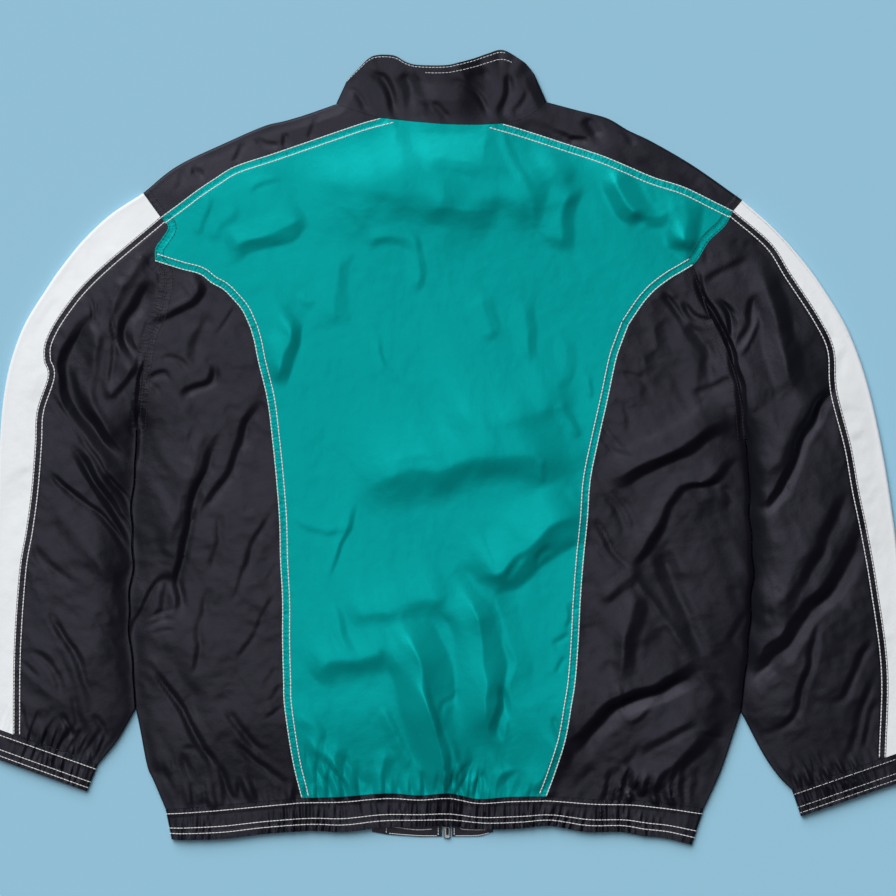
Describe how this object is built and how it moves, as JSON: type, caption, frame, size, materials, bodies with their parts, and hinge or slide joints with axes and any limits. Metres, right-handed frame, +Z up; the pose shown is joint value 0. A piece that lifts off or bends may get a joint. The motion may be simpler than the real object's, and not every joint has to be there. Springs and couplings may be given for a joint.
{
  "type": "windbreaker",
  "caption": "Zip-front nylon windbreaker laid flat, back up: teal back with wings, black yokes, sides and sleeves, white over-arm stripes, stand collar, elastic hem and cuffs.",
  "frame": {"origin": "centre of the garment's outline on the surface it lies on", "axes": "+Y from the hem towards the collar, +X across the back towards the garment's right-hand sleeve in the picture, +Z up through the back"},
  "size_m": [0.9121, 0.795, 0.02],
  "materials": {
    "teal": "satin",
    "black": "satin",
    "white": "satin",
    "tape": "matte",
    "metal": "satin"
  },
  "bodies": {
    "garment": {"centre_back": "teal", "yoke_L": "black", "yoke_R": "black", "side_back_L": "black", "side_back_R": "black", "sleeve_back_L": "black", "sleeve_back_R": "black", "stripe_L": "white", "stripe_R": "white", "collar": "black", "hem_band": "black", "hem_tab_L": "black", "hem_tab_R": "black", "cuff_L": "black", "cuff_R": "black", "front_L": "black", "front_R": "black", "sleeve_front_L": "black", "sleeve_front_R": "black", "zip_tape_L": "tape", "zip_tape_R": "tape", "zip_chain": "tape", "zip_box": "metal", "zip_slider": "metal"},
    "pull": {"zip_pull": "metal"}
  },
  "joints": [
    {"name": "pull_swing", "type": "hinge", "parent": "garment", "child": "pull", "pos_m": [-0.001, 0.373, 0.0025], "axis": [1, 0, 0], "range_deg": [-4, 160]}
  ]
}
